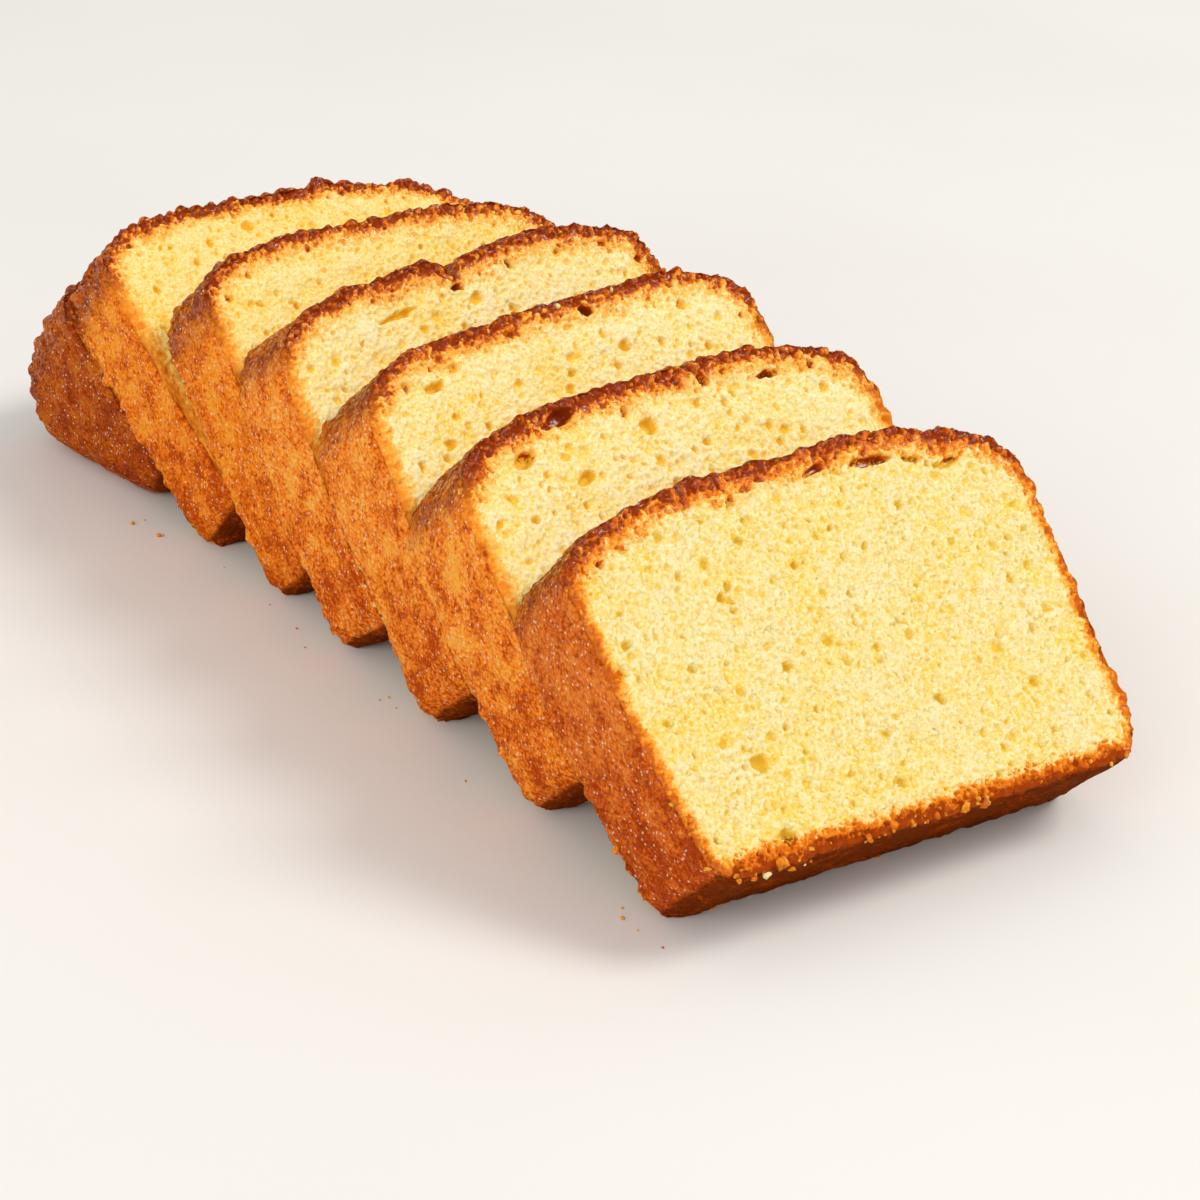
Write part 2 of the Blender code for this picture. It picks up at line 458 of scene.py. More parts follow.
    def skin_colour(self, graph: Graph, crown: bpy.types.NodeSocket, foot: bpy.types.NodeSocket,
                    height: bpy.types.NodeSocket,
                    ) -> tuple[bpy.types.NodeSocket, bpy.types.NodeSocket]:
        """The loaf's outside: mottled orange brown, darker on the top and towards the bottom, with
        painted shade on its underside.

        Args:
            graph: The material's nodes.
            crown: How much it is the loaf's top.
            foot: How much it is the loaf's bottom.
            height: Millimetres over the loaf's base.

        Returns:
            The skin's colour with painted highlights on its small moist spots, and where those
            spots are.
        """
        # Darker towards the borders of the skin's granules: painted shade in the creases between
        # them.
        crease_shade = graph.math("POWER", graph.cells(GRAIN_MM), 2.0)
        tone = graph.math("MULTIPLY", graph.centred(6.0, 4.0), 2.3)
        tone = graph.plus(tone, graph.own(GRAIN_MM), 0.35)
        tone = graph.plus(tone, graph.centred(1.1, 3.0, 0.2), 1.4)
        tone = graph.math("SUBTRACT", tone, graph.math("MULTIPLY", crease_shade, 0.8))
        tone = graph.math("ADD", tone, graph.range(height, 0.0, 40.0, 0.82 - self.darkening, 0.84))
        side = graph.ramp(tone, (0.0, self.skin_dark), (0.55, self.skin_light),
                          (1.0, self.skin_pale))
        top = graph.mix(graph.range(tone, 0.2, 1.3), self.crown_skin, self.toasted)
        # The underside mixes to the darkest foot colour, partly painted shade under the loaf.
        low = graph.mix(graph.range(tone, 0.2, 0.9), self.foot_skin_and_shade, self.skin_dark)
        skin = graph.mix(foot, graph.mix(graph.range(crown, 0.12, 1.0), side, top), low)
        # Small moist spots on the skin: painted highlights in its colour, and gloss in surface().
        spots = graph.math("MULTIPLY", graph.range(graph.cells(SPOT_MM), 0.3, 0.16),
                           graph.range(graph.cells(SPOT_MM, "Color"), 0.54, 0.6))
        spots = graph.math("MULTIPLY", spots, graph.range(foot, 0.0, 0.5, 1.0, 0.0))
        return graph.mix(graph.math("MULTIPLY", spots, 0.6), skin, self.painted_glint), spots

    def surface(self, graph: Graph, cut: bpy.types.NodeSocket, dry: bpy.types.NodeSocket,
                crown: bpy.types.NodeSocket, grains: bpy.types.NodeSocket,
                spots: bpy.types.NodeSocket) -> None:
        """Roughness, gloss, relief and the light that passes through the crumb.

        Args:
            graph: The material's nodes.
            cut: 1 on a cut face and 0 on the skin.
            dry: Where there is little gloss.
            crown: How much it is the loaf's top.
            grains: The grains' relief.
            spots: Where the small moist spots are; the skin's colour paints highlights on them.
        """
        shader = graph.shader
        moist = graph.range(graph.centred(0.9, 2.0, 0.4), -0.1, 0.15)
        graph.link(shader.inputs["Roughness"], graph.range(moist, 0.0, 1.0, 0.6, 0.38))
        glazed = graph.math("MAXIMUM", graph.math("MULTIPLY", crown, 0.9), 0.3)
        gloss = graph.math("MAXIMUM", graph.math("MULTIPLY", moist, glazed), spots)
        graph.link(shader.inputs["Coat Weight"],
                   graph.math("MULTIPLY", gloss, graph.range(dry, 0.2, 1.0, 1.0, 0.2)))
        shader.inputs["Coat Roughness"].default_value = 0.16
        rough = graph.math("MULTIPLY", graph.noise(0.3, 1.0), graph.range(cut, 0.0, 1.0, 1.0, 0.3))
        first = graph.bump(grains, 0.34)
        second = graph.bump(rough, 0.24, first)
        beads = graph.math("MULTIPLY", graph.cells(BEAD_MM), graph.range(cut, 0.0, 1.0, 1.0, 0.0))
        graph.link(shader.inputs["Normal"], graph.bump(beads, 0.4, second))
        shader.inputs["Specular IOR Level"].default_value = 0.0
        shader.inputs["Subsurface Weight"].default_value = 0.42
        shader.inputs["Subsurface Radius"].default_value = (1.0, 0.5, 0.18)
        shader.inputs["Subsurface Scale"].default_value = 1.8 * MM
        shader.inputs["IOR"].default_value = 1.4


@dataclass(frozen=True)
class FloorFinish:
    """A plain pale floor."""

    light: Colour = (0.85, 0.84, 0.815)
    dark: Colour = (0.83, 0.82, 0.79)

    def make(self, name: str) -> bpy.types.Material:
        """Build the material.

        Args:
            name: The material's name.

        Returns:
            The material.
        """
        graph = Graph(name)
        cloud = graph.noise(180.0, 3.0, 0.5)
        graph.link(graph.shader.inputs["Base Color"],
                   graph.mix(graph.range(cloud, 0.3, 0.7), self.light, self.dark))
        graph.shader.inputs["Roughness"].default_value = 0.8
        return graph.material


# ---------------------------------------------------------------------------------------------
# Grain for sculpting


@dataclass(frozen=True)
class Layer:
    """Balls or pores scattered in a layer, one in each cell, in millimetres.

    Radii are the smallest and the largest, rises the lowest and the highest middle, number tells
    one pattern from another, and share is the share of the cells that have one.
    """

    size: float
    radii: tuple[float, float]
    rises: tuple[float, float]
    number: int
    share: float = 1.0


CLUMPS = Layer(0.9, (0.36, 0.66), (-0.45, -0.15), 100)
GRAINS = Layer(0.64, (0.24, 0.42), (-0.3, 0.0), 110)
PORES = Layer(1.6, (0.3, 0.65), (-0.4, 0.1), 120, 0.75)
BUBBLES = Layer(3.7, (0.4, 1.0), (-0.4, 0.4), 130, 0.65)
WIDE_BUBBLES = Layer(11.0, (0.7, 1.7), (-0.4, 0.5), 140, 0.4)
CRUST_KNOBS = Layer(1.3, (0.45, 0.85), (-0.6, -0.2), 150)
CRUST_TEARS = Layer(2.2, (0.3, 0.8), (-0.3, 0.3), 160, 0.6)


@dataclass(frozen=True)
class Grain:
    """Repeatable patterns over points, for sculpting crumb and crust."""

    seed: int

    def chance(self, cells: np.ndarray, number: int) -> np.ndarray:
        """A number from 0 to 1 for each whole-numbered cell.

        Args:
            cells: The cells, as rows of three.
            number: Tells one pattern from another.

        Returns:
            The numbers.
        """
        mixed = cells.astype(np.int64)
        value = mixed[..., 0] * 73856093
        value = value ^ (mixed[..., 1] * 19349663) ^ (mixed[..., 2] * 83492791)
        value = (value ^ (self.seed * 2654435761 + number * 97531)) & 0xFFFFFFFF
        for _ in range(2):
            value = ((value >> 16) ^ value) * 0x45D9F3B & 0xFFFFFFFF
        value = (value >> 16) ^ value
        return value / 0xFFFFFFFF

    def lumps(self, points: np.ndarray, size: float, number: int = 0) -> np.ndarray:
        """Soft lumps of about the given size, from 0 to 1.

        Args:
            points: Places, as rows of three.
            size: The lumps' size.
            number: Tells one pattern from another.

        Returns:
            The lumps' height at each place.
        """
        scaled = points / size
        low = np.floor(scaled)
        share = scaled - low
        share = share * share * (3 - 2 * share)
        total = np.zeros(len(points))
        for corner in np.ndindex(2, 2, 2):
            weight = np.prod(np.where(np.array(corner) == 1, share, 1 - share), axis=1)
            total += weight * self.chance(low + corner, 10 + number)
        return total

    def cells(self, points: np.ndarray, size: float,
              number: int = 0) -> tuple[np.ndarray, np.ndarray]:
        """Cells of about the given size.

        Args:
            points: Places, as rows of three.
            size: The cells' size.
            number: Tells one pattern from another.

        Returns:
            The distance to the nearest cell's middle, and a chance number that is its own.
        """
        low = np.floor(points / size)
        nearest = np.full(len(points), FAR_OFF)
        own = np.zeros(len(points))
        for step in np.ndindex(3, 3, 3):
            cell = low + np.array(step) - 1
            middle = np.stack([self.chance(cell, 20 + 3 * number + axis) for axis in range(3)], 1)
            away = np.linalg.norm((cell + middle) * size - points, axis=1)
            closer = away < nearest
            own = np.where(closer, self.chance(cell, 50 + number), own)
            nearest = np.where(closer, away, nearest)
        return nearest, own

    def balls(self, flat: np.ndarray, layer: Layer) -> np.ndarray:
        """The upper side of balls scattered in a layer, one in each cell.

        Args:
            flat: Places, as rows of across, which face, and height.
            layer: The balls' sizes and places.

        Returns:
            How high the highest ball reaches at each place, or the lowest middle where none is.
        """
        low = np.floor(flat / layer.size)
        best = np.full(len(flat), layer.rises[0])
        radius_span, rise_span = (span[1] - span[0] for span in (layer.radii, layer.rises))
        for across, height in np.ndindex(3, 3):
            cell = low + np.array((across - 1, 0, height - 1))
            aside = (cell[:, 0] + self.chance(cell, layer.number)) * layer.size - flat[:, 0]
            upward = (cell[:, 2] + self.chance(cell, layer.number + 1)) * layer.size - flat[:, 2]
            radius = layer.radii[0] + radius_span * self.chance(cell, layer.number + 2) ** 2
            rise = layer.rises[0] + rise_span * self.chance(cell, layer.number + 3)
            inside = radius ** 2 - aside ** 2 - upward ** 2
            inside = np.where(self.chance(cell, layer.number + 4) < layer.share, inside, -1.0)
            reach = rise + np.sqrt(np.maximum(inside, 0.0))
            best = np.where((inside > 0) & (reach > best), reach, best)
        return best


# ---------------------------------------------------------------------------------------------
# The pieces of the loaf


class Back(Enum):
    """What a piece has behind its front cut face."""

    CUT = "a second cut face"
    CRUST = "the loaf's end crust"


@dataclass(frozen=True)
class Hole:
    """A hole in the front cut face, in millimetres on that face."""

    across: float
    height: float
    width: float
    tallness: float
    depth: float
    tilt: float = 0.0


@dataclass(frozen=True)
class Crack:
    """A crack across the crown, in millimetres."""

    across: float
    depth: float
    width: float


@dataclass
class Piece:
    """One piece of the loaf, made from its solid in the frame. Sizes are in millimetres."""

    node: str
    seed: int
    slot: str = "crumb"
    back: Back = Back.CUT
    holes: tuple[Hole, ...] = ()
    crack: Crack | None = None
    knobs: float = 0.3
    relief: float = 1.0
    finish: CakeFinish = field(default_factory=CakeFinish)
    cell: float = 0.64
    front_cuts: int = 1
    raggedness: float = 0.6
    thickness: float = 0.0
    outlines: list[np.ndarray] = field(default_factory=list)
    on_edge: np.ndarray | None = None
    edge_places: np.ndarray | None = None
    object: bpy.types.Object | None = None

    def build(self) -> bpy.types.Object:
        """Make the piece, dress it and put it in the row.

        Returns:
            The finished piece.
        """
        placing = self.placing()
        self.stand_up(placing)
        self.remesh()
        marks = self.mark()
        self.sculpt(marks)
        self.object.data.materials.clear()
        self.object.data.materials.append(self.finish.make(self.node + "_baked"))
        self.object.data.transform(placing)
        places = places_of(self.object.data)
        places[:, 2] = np.maximum(places[:, 2], 0.0)
        set_places(self.object.data, places)
        self.object.data.shade_smooth()
        self.edge_places = places[self.on_edge] / MM
        return self.object

    def placing(self) -> Matrix:
        """Where the working frame lies in the row, found from the solid's front cut face.

        Returns:
            The placing, from millimetres in the working frame to metres in the row.
        """
        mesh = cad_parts[self.node].data
        normals = np.array([face.normal for face in mesh.polygons])
        areas = np.array([face.area for face in mesh.polygons])
        keys = np.round(normals, 2)
        upward, where = np.unique(keys[normals[:, 2] > 0.2], axis=0, return_inverse=True)
        weight = np.bincount(where.ravel(), areas[normals[:, 2] > 0.2])
        main = upward[weight.argmax()]
        flat = normals @ main > 0.999 * np.linalg.norm(main)
        normal = Vector((normals[flat] * areas[flat, None]).sum(0)).normalized()
        across = Vector((-normal.y, normal.x, 0.0)).normalized()
        turn = Matrix((across, -normal, across.cross(-normal))).transposed()
        corners = np.array([vert.co for vert in mesh.vertices]) @ np.array(turn)
        face = corners[corners[:, 1] < corners[:, 1].min() + 0.02 * MM]
        base = face[face[:, 2] < face[:, 2].min() + 0.1 * MM]
        origin = Vector(((base[:, 0].min() + base[:, 0].max()) / 2, face[:, 1].mean(),
                         face[:, 2].min()))
        return turn.to_4x4() @ Matrix.Translation(origin) @ Matrix.Scale(MM, 4)

    def stand_up(self, placing: Matrix) -> None:
        """Copy the solid and stand it in the working frame.

        Args:
            placing: Where the working frame lies in the row.
        """
        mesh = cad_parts[self.node].data.copy()
        mesh.transform(placing.inverted())
        self.object = bpy.data.objects.new(self.node + "_cake", mesh)
        bpy.context.scene.collection.objects.link(self.object)
        select_only(self.object)
        bpy.ops.object.mode_set(mode="EDIT")
        bpy.ops.mesh.select_all(action="SELECT")
        bpy.ops.mesh.remove_doubles(threshold=0.01)
        bpy.ops.object.mode_set(mode="OBJECT")
        places = places_of(mesh)
        self.thickness = places[:, 1].max()
        self.outlines.append(self.outline(places, 0.0))
        if self.back is Back.CUT:
            self.outlines.append(self.outline(places, self.thickness))

    @staticmethod
    def outline(places: np.ndarray, depth: float) -> np.ndarray:
        """The solid's outline on one flat face, in order round its middle.

        Args:
            places: The vertices' places, in the working frame.
            depth: How far in from the front that face is.

        Returns:
            The outline, as rows of across and height.
        """
        edge = places[np.abs(places[:, 1] - depth) < 0.05][:, (0, 2)]
        middle = (edge.min(0) + edge.max(0)) / 2
        turn = np.arctan2(edge[:, 1] - middle[1], edge[:, 0] - middle[0])
        return edge[turn.argsort()]

    def remesh(self) -> None:
        """Give the piece an even fine mesh, finest on its front cut face."""
        even = self.object.modifiers.new("even", "REMESH")
        even.mode = "VOXEL"
        even.voxel_size = self.cell
        apply_modifier(self.object, even)
        for face in self.object.data.polygons:
            face.select = face.normal.y < -0.8 and face.center.y < 0.3
        bpy.ops.object.mode_set(mode="EDIT")
        bpy.ops.mesh.select_mode(type="FACE")
        bpy.ops.mesh.subdivide(number_cuts=self.front_cuts)
        bpy.ops.object.mode_set(mode="OBJECT")

    def mark(self) -> dict[str, np.ndarray]:
        """Tell skin from cut at each vertex, and how far in it is.

        Returns:
            The marks, one number or place for each vertex.
        """
        mesh = self.object.data
        places, normals = places_of(mesh), normals_of(mesh)
        outlook = -normals[:, 1]
        front = smooth_step(0.6, 0.9, outlook) * (places[:, 1] < 0.45)
        back = smooth_step(0.6, 0.9, -outlook) * (places[:, 1] > self.thickness - 0.45)
        if self.back is Back.CRUST:
            back = np.zeros(len(places))
        rim, height = self.inwards(places, self.outlines[0])
        if self.back is Back.CUT:
            far_rim, far_height = self.inwards(places, self.outlines[1])
            rear = places[:, 1] > self.thickness / 2
            rim, height = np.where(rear, far_rim, rim), np.where(rear, far_height, height)
        cut = np.maximum(front, back)
        height = np.where(cut > 0.3, height, places[:, 2])
        top = self.outlines[0][:, 1].max()
        crown = smooth_step(top - 22, top - 8, height)
        downward = np.where(cut > 0.3, height < 0.8, smooth_step(0.5, 0.9, -normals[:, 2]))
        foot = downward * smooth_step(6.0, 1.5, height)
        corner = smooth_step(3.2, 0.4, rim)
        near_front = smooth_step(2.6, 0.3, places[:, 1]) * corner
        near_back = smooth_step(2.6, 0.3, self.thickness - places[:, 1]) * corner
        edge = near_front if self.back is Back.CRUST else np.maximum(near_front, near_back)
        return {"places": places, "normals": normals, "front": front, "back": back, "cut": cut,
                "rim": rim, "crown": crown, "foot": foot, "edge": edge, "height": height}

    @staticmethod
    def inwards(places: np.ndarray, outline: np.ndarray) -> tuple[np.ndarray, np.ndarray]:
        """How far each place is from an outline, and the height of the outline nearest to it.

        Args:
            places: The vertices' places, in the working frame.
            outline: The outline, as rows of across and height.

        Returns:
            The distances and the heights.
        """
        flat = places[:, (0, 2)]
        best = np.full(len(flat), FAR_OFF)
        height = np.zeros(len(flat))
        for start, end in zip(outline, np.roll(outline, -1, axis=0)):
            along = end - start
            share = np.clip((flat - start) @ along / max(along @ along, 1e-9), 0.0, 1.0)
            nearest = start + share[:, None] * along
            away = np.linalg.norm(flat - nearest, axis=1)
            closer = away < best
            best = np.where(closer, away, best)
            height = np.where(closer, nearest[:, 1], height)
        return best, height

    def sculpt(self, marks: dict[str, np.ndarray]) -> None:
        """Open the crumb, carve the holes, and roughen the crust and the edges.

        Args:
            marks: What mark() gives.
        """
        grain = Grain(self.seed)
        places, normals = marks["places"], marks["normals"]
        warp = np.stack([grain.lumps(places, 1.3, axis) - 0.5 for axis in range(3)], 1)
        wide = np.stack([grain.lumps(places, 4.0, 30 + axis) - 0.5 for axis in range(3)], 1)
        warped = places + 1.1 * warp + 2.2 * wide
        loosely = places + 0.6 * warp + 1.0 * wide
        sunk = self.crumb_depth(grain, loosely, marks)
        sunk = np.maximum(sunk, self.hole_depth(loosely, marks["front"]))
        raised = self.skin_height(grain, places, warped, marks["crown"])
        inward = marks["front"] - marks["back"]
        moved = places.copy()
        moved[:, 1] += inward * sunk
        moved[:, 2] -= self.crack_depth(warped)
        crumbly = self.edge_height(grain, places + 0.5 * wide)
        moved += normals * ((1 - marks["cut"]) * raised + marks["edge"] * crumbly)[:, None]
        set_places(self.object.data, moved)
        mesh = self.object.data
        for word in ("cut", "rim", "crown", "foot", "height"):
            store(mesh, word, marks[word])
        store(mesh, "relief", marks["cut"] * sunk)
        self.on_edge = marks["edge"] > 0.6

    def crumb_depth(self, grain: Grain, warped: np.ndarray,
                    marks: dict[str, np.ndarray]) -> np.ndarray:
        """How far the crumb is sunk below its cut: clumped grains, with pores between them.

        Args:
            grain: The piece's own patterns.
            warped: The places, gently displaced so that no pattern looks regular.
            marks: What mark() gives.

        Returns:
            The depth at each vertex.
        """
        flat = warped.copy()
        flat[:, 1] = marks["back"] > 0.5
        depth = -self.relief * np.maximum(grain.balls(flat, CLUMPS), grain.balls(flat, GRAINS))
        pores = np.maximum(grain.balls(flat, PORES), grain.balls(flat, BUBBLES))
        pores += 0.35 * (grain.lumps(warped, 2.4, 3) - 0.5)
        pores = np.maximum(pores, grain.balls(flat, WIDE_BUBBLES))
        depth = np.maximum(depth, pores)
        knobs = np.maximum(-grain.balls(flat, CRUST_KNOBS), grain.balls(flat, CRUST_TEARS))
        band = smooth_step(4.0, 1.5, marks["rim"]) * (0.4 + 0.6 * marks["crown"])
        depth = depth + band * (knobs - depth) + 0.4 * (grain.lumps(warped, 2.8, 2) - 0.5)
        return depth + 0.4 * (grain.lumps(warped, 8.0, 4) - 0.2)

    def crack_depth(self, warped: np.ndarray) -> np.ndarray:
        """How far the crown has sunk into its crack.

        Args:
            warped: The places, gently displaced so that no pattern looks regular.

        Returns:
            The depth at each vertex.
        """
        if self.crack is None:
            return np.zeros(len(warped))
        top = self.outlines[0][:, 1].max()
        near = smooth_step(top - 10, top - 2, warped[:, 2])
        away = (warped[:, 0] - self.crack.across) / self.crack.width
        return self.crack.depth * near * np.exp(-away ** 2)

    def hole_depth(self, warped: np.ndarray, front: np.ndarray) -> np.ndarray:
        """How deep the piece's own holes are.

        Args:
            warped: The places, gently displaced so that no pattern looks regular.
            front: 1 on the front cut face.

        Returns:
            The depth at each vertex.
        """
        depth = np.full(len(warped), -1.0)
        for hole in self.holes:
            across, height = warped[:, 0] - hole.across, warped[:, 2] - hole.height
            tilt = math.radians(hole.tilt)
            along = (across * math.cos(tilt) + height * math.sin(tilt)) / (hole.width / 2)
            upward = (height * math.cos(tilt) - across * math.sin(tilt)) / (hole.tallness / 2)
            away = np.hypot(along, upward)
            depth = np.maximum(depth, -1.0 + (hole.depth + 1.0) * smooth_step(1.2, 0.6, away))
        return np.where(front > 0.5, depth, -1.0)

    def skin_height(self, grain: Grain, places: np.ndarray, warped: np.ndarray,
                    crown: np.ndarray) -> np.ndarray:
        """How far the skin stands out, from its lumps to its pits.

        Args:
            grain: The piece's own patterns.
            places: The vertices' places, in the working frame.
            warped: The places, gently displaced so that no pattern looks regular.
            crown: How much it is the loaf's top.

        Returns:
            The height at each vertex.
        """
        height = 0.5 * (grain.lumps(warped, 2.6, 7) + grain.lumps(warped, 1.4, 8)) - 0.5
        near, own = grain.cells(warped, 2.2, 5)
        height = height - 0.5 * smooth_step(1.0, 0.3, near / (0.3 + 0.7 * own ** 2))
        near, own = grain.cells(places, 3.4, 6)
        knob = np.clip(1 - (near / (1.6 + 0.8 * own)) ** 2, 0, 1) * (0.4 + 0.6 * own)
        return height + crown * (self.knobs * knob - 0.15)

    def edge_height(self, grain: Grain, warped: np.ndarray) -> np.ndarray:
        """How far the crumbly edge of a cut stands out or has broken away.

        Args:
            grain: The piece's own patterns.
            warped: The places, gently displaced so that no pattern looks regular.

        Returns:
            The height at each vertex.
        """
        near, own = grain.cells(warped, 2.6, 9)
        crumb = np.clip(1 - (near / (1.3 + 0.6 * own)) ** 2, 0, 1) * (0.5 + 0.7 * own)
        crumb += 0.8 * (grain.lumps(warped, 3.4, 6) - 0.5) - 0.45
        return crumb * self.raggedness


@dataclass
class Crumbs:
    """Crumbs that stick along the cuts' edges or have fallen beside the loaf, in millimetres."""

    seed: int = 41
    stuck: int = 60
    stuck_radii: tuple[float, float] = (0.2, 0.7)
    low: int = 100
    low_radii: tuple[float, float] = (0.3, 1.0)
    low_height: float = 26.0
    low_across: float = 15.0
    crumbly_pieces: int = 4
    fallen: int = 16
    fallen_radii: tuple[float, float] = (0.2, 0.8)
    fallen_away: float = 4.0
    finish: CakeFinish = field(default_factory=CakeFinish)

    def build(self, pieces: tuple[Piece, ...]) -> bpy.types.Object:
        """Scatter the crumbs as one mesh.

        Args:
            pieces: The loaf's pieces, already built.

        Returns:
            The crumbs.
        """
        chance = np.random.default_rng(self.seed)
        places, radii = [], []
        for piece in pieces[:self.crumbly_pieces]:
            picked = chance.integers(len(piece.edge_places), size=self.stuck)
            places.append(piece.edge_places[picked] + chance.uniform(-0.15, 0.15, (self.stuck, 3)))
            radii.append(self.sizes(chance, self.stuck, self.stuck_radii))
        front = pieces[0].edge_places
        front = front[(front[:, 2] < self.low_height) & (front[:, 0] < self.low_across)]
        places.append(front[chance.integers(len(front), size=self.low)])
        radii.append(self.sizes(chance, self.low, self.low_radii))
        fallen = self.sizes(chance, self.fallen, self.fallen_radii)
        places.append(self.beside(chance, fallen))
        radii.append(fallen)
        return self.assemble(chance, np.concatenate(places), np.concatenate(radii))

    @staticmethod
    def sizes(chance: np.random.Generator, count: int, radii: tuple[float, float]) -> np.ndarray:
        """Many small ones and a few large ones."""
        return radii[0] + (radii[1] - radii[0]) * chance.random(count) ** 3

    def beside(self, chance: np.random.Generator, radii: np.ndarray) -> np.ndarray:
        """Places on the floor along the slices' left lower edges.

        Args:
            chance: The source of chance numbers.
            radii: The crumbs' radii.

        Returns:
            The places, as rows of three.
        """
        nodes = [f"slice_{number}" for number in chance.integers(1, 7, len(radii))]
        places = []
        for node, radius in zip(nodes, radii):
            low, high = (np.array(corner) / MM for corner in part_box(node))
            away = self.fallen_away * chance.random() ** 2
            along = low[1] + (high[1] - low[1]) * chance.uniform(0.15, 0.5)
            places.append((low[0] + 3.0 - away, along, 0.7 * radius))
        return np.array(places)

    def assemble(self, chance: np.random.Generator, places: np.ndarray,
                 radii: np.ndarray) -> bpy.types.Object:
        """Copy one crumb to each place, each with its own shape and browning.

        Args:
            chance: The source of chance numbers.
            places: The crumbs' places.
            radii: The crumbs' radii.

        Returns:
            The crumbs as one object.
        """
        bpy.ops.object.select_all(action="DESELECT")
        bpy.ops.mesh.primitive_ico_sphere_add(subdivisions=1, radius=1.0)
        crumbs = bpy.context.object
        crumbs.name = "loose_crumbs"
        ball = places_of(crumbs.data)
        faces = np.array([list(face.vertices) for face in crumbs.data.polygons])
        count, corners = len(places), len(ball)
        shapes = ball[None] * chance.uniform(0.65, 1.25, (count, 1, 3))
        shapes = shapes * (1 + 0.28 * chance.standard_normal((count, corners, 1)).clip(-1.2, 1.2))
        points = (places[:, None] + shapes * radii[:, None, None]).reshape(-1, 3)
        points[:, 2] = np.maximum(points[:, 2], 0.0)
        mesh = bpy.data.meshes.new("loose_crumbs")
        joined = (faces[None] + corners * np.arange(count)[:, None, None]).reshape(-1, 3)
        mesh.from_pydata(points * MM, [], joined.tolist())
        crumbs.data = mesh
        browning = np.repeat(chance.choice((0.3, 0.9, 1.7, 9.0), count, p=(0.2, 0.4, 0.3, 0.1)),
                             corners)
        for word, value in (("cut", 1.0), ("rim", browning), ("crown", 0.0), ("foot", 0.0),
                            ("height", 20.0), ("relief", 0.1)):
            store(mesh, word, np.broadcast_to(value, len(points)))
        mesh.shade_smooth()
        mesh.materials.append(self.finish.make("crumbs_baked"))
        return crumbs


# ---------------------------------------------------------------------------------------------
# Camera and light


@dataclass(frozen=True)
class Lamp:
    """A soft square light that looks at the loaf: its place and size in metres, and its watts."""

    name: str
    place: tuple[float, float, float]
    size: float
    power: float
    colour: Colour = (1.0, 0.97, 0.93)


@dataclass
class Studio:
    """A pale floor, soft light and the camera. The camera's turn is in degrees."""

    floor_size: float = 6.0
    sky_colour: Colour = (1.0, 0.985, 0.96)
    sky_strength: float = 0.6
    lamps: tuple[Lamp, ...] = (Lamp("key", (1.5, -1.1, 2.1), 1.0, 38.0),
                               Lamp("fill", (-2.2, -1.4, 1.4), 2.0, 36.0))
    camera_place: tuple[float, float, float] = (-0.23546, -0.37751, 0.2233)
    camera_turn: tuple[float, float, float] = (34.71, 26.73, 2.68)
    lens: float = 73.56

    def build(self) -> None:
        """Make the floor, the lights and the camera."""
        bpy.context.scene.view_settings.view_transform = "Standard"
        self.add_floor()
        self.add_world()
        for lamp in self.lamps:
            self.add_light(lamp)
        self.add_camera()

    def add_floor(self) -> None:
        """Add the floor."""
        bpy.ops.mesh.primitive_plane_add(size=self.floor_size)
        floor = bpy.context.object
        floor.name = "floor"
        floor.data.materials.append(FloorFinish().make("pale_floor"))

    def add_world(self) -> None:
        """Light the scene softly from all round."""
        world = bpy.data.worlds.new("studio")
        bpy.context.scene.world = world
        world.use_nodes = True
        sky = world.node_tree.nodes["Background"]
        sky.inputs["Color"].default_value = (*self.sky_colour, 1.0)
        sky.inputs["Strength"].default_value = self.sky_strength

    @staticmethod
    def add_light(lamp: Lamp) -> None:
        """Add one lamp, turned to the loaf.

        Args:
            lamp: What the lamp is like.
        """
        light = bpy.data.lights.new(lamp.name, "AREA")
        light.size = lamp.size
        light.energy = lamp.power
        light.color = lamp.colour
        holder = bpy.data.objects.new(lamp.name, light)
        bpy.context.scene.collection.objects.link(holder)
        holder.location = lamp.place
        holder.rotation_euler = (-Vector(lamp.place)).to_track_quat("-Z", "Y").to_euler()

    def add_camera(self) -> None:
        """Put the camera in front of the row's left side, looking down along it."""
        heading, down, roll = (math.radians(angle) for angle in self.camera_turn)
        ahead = Vector((math.sin(heading) * math.cos(down), math.cos(heading) * math.cos(down),
                        -math.sin(down)))
        right = Vector((math.cos(heading), -math.sin(heading), 0.0))
        upward = right.cross(ahead)
        tilted = right * math.cos(roll) + upward * math.sin(roll)
        upward = upward * math.cos(roll) - right * math.sin(roll)
        camera = bpy.data.objects.new("camera", bpy.data.cameras.new("camera"))
        bpy.context.scene.collection.objects.link(camera)
        turn = Matrix((tilted, upward, -ahead)).transposed()
        camera.matrix_world = Matrix.Translation(Vector(self.camera_place)) @ turn.to_4x4()
        camera.data.lens = self.lens
        camera.data.sensor_width = 36.0
        camera.data.clip_start = 0.01
        bpy.context.scene.camera = camera


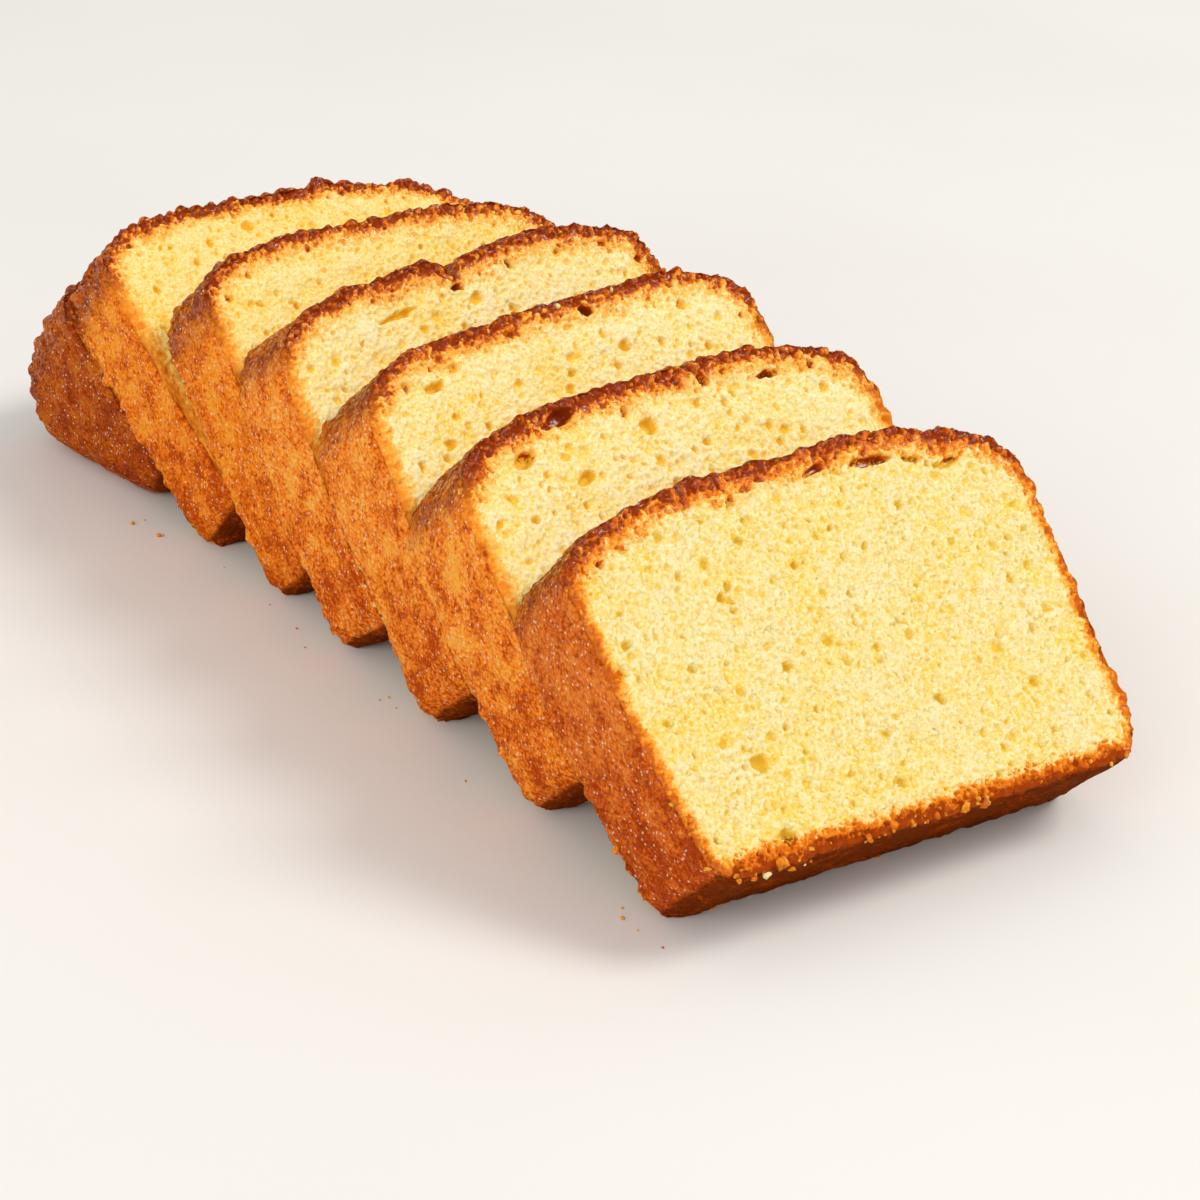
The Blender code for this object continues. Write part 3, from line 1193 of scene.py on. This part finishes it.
# The slices further back are brighter and more orange: partly their own bake, partly painted light
# that offsets the shade the slices cast on one another.
FRONT = CakeFinish()
MIDDLE = replace(FRONT, skin_pale=(0.95, 0.40, 0.055), skin_light=(0.90, 0.225, 0.016),
                 skin_dark=(0.47, 0.060, 0.002), darkening=0.35, side_crust_mm=3.8,
                 rind=(0.84, 0.28, 0.022), orange=(0.88, 0.36, 0.036),
                 golden=(0.92, 0.49, 0.085), cream=(0.93, 0.64, 0.18), crown_crust_mm=6.2,
                 ridge=(0.94, 0.83, 0.50), crumb=(0.93, 0.72, 0.26), yolk_and_shade=(0.93, 0.63, 0.11),
                 pore_shade=(0.88, 0.53, 0.04), boldness=0.5)
FAR = replace(MIDDLE, skin_pale=(0.93, 0.35, 0.03), skin_light=(0.87, 0.205, 0.009),
              side_crust_mm=4.4, crown_crust_mm=5.2, ridge=(0.94, 0.80, 0.40),
              crumb=(0.94, 0.69, 0.20), yolk_and_shade=(0.94, 0.58, 0.08), pore_shade=(0.87, 0.46, 0.02))
END = replace(FRONT, skin_pale=(0.58, 0.15, 0.008), skin_light=(0.44, 0.068, 0.002),
              skin_dark=(0.24, 0.026, 0.001), darkening=0.25)

PIECES = (
    Piece("slice_1", 11, finish=FRONT, holes=(
        Hole(3.0, 62.4, 6.0, 1.5, 1.8, 5.0), Hole(14.2, 61.8, 9.5, 2.0, 2.3, -6.0),
        Hole(22.5, 60.6, 5.0, 1.6, 1.8, -5.0), Hole(29.5, 58.8, 6.5, 1.8, 2.0, -3.0))),
    Piece("slice_2", 12, relief=0.85, finish=MIDDLE, holes=(
        Hole(-22.0, 62.6, 6.0, 4.0, 3.0, 25.0), Hole(-32.2, 56.7, 5.0, 2.8, 2.6, 20.0),
        Hole(-21.5, 50.4, 4.4, 2.6, 2.2), Hole(-5.2, 57.5, 3.4, 3.6, 2.0),
        Hole(24.2, 61.3, 6.0, 1.8, 2.4))),
    Piece("slice_3", 13, relief=0.75, finish=MIDDLE, holes=(
        Hole(-30.6, 56.1, 5.5, 2.4, 2.4, 15.0), Hole(6.9, 64.5, 4.0, 2.6, 2.4))),
    Piece("slice_4", 14, relief=0.7, knobs=0.4, finish=MIDDLE, crack=Crack(-3.0, 3.4, 2.6), holes=(
        Hole(-18.0, 58.0, 11.0, 1.3, 2.4, 7.0), Hole(-2.8, 62.5, 3.0, 4.0, 2.0))),
    Piece("slice_5", 15, relief=0.65, knobs=0.8, raggedness=0.7, finish=FAR),
    Piece("slice_6", 16, relief=0.65, knobs=1.6, raggedness=1.0, finish=FAR),
    Piece("end_piece", 17, slot="crust", back=Back.CRUST, knobs=1.6, raggedness=1.0, finish=END),
)


def main() -> None:
    """Build the loaf and its studio."""
    logging.basicConfig(level=logging.INFO, format="%(message)s")
    for piece in PIECES:
        made = piece.build()
        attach(made, "root")
        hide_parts(piece.node)
        log.info("%s: %d faces", made.name, len(made.data.polygons))
    crumbs = Crumbs(finish=FRONT).build(PIECES)
    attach(crumbs, "root")
    log.info("%s: %d faces", crumbs.name, len(crumbs.data.polygons))
    Studio().build()
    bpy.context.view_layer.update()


if __name__ == "__main__":
    main()
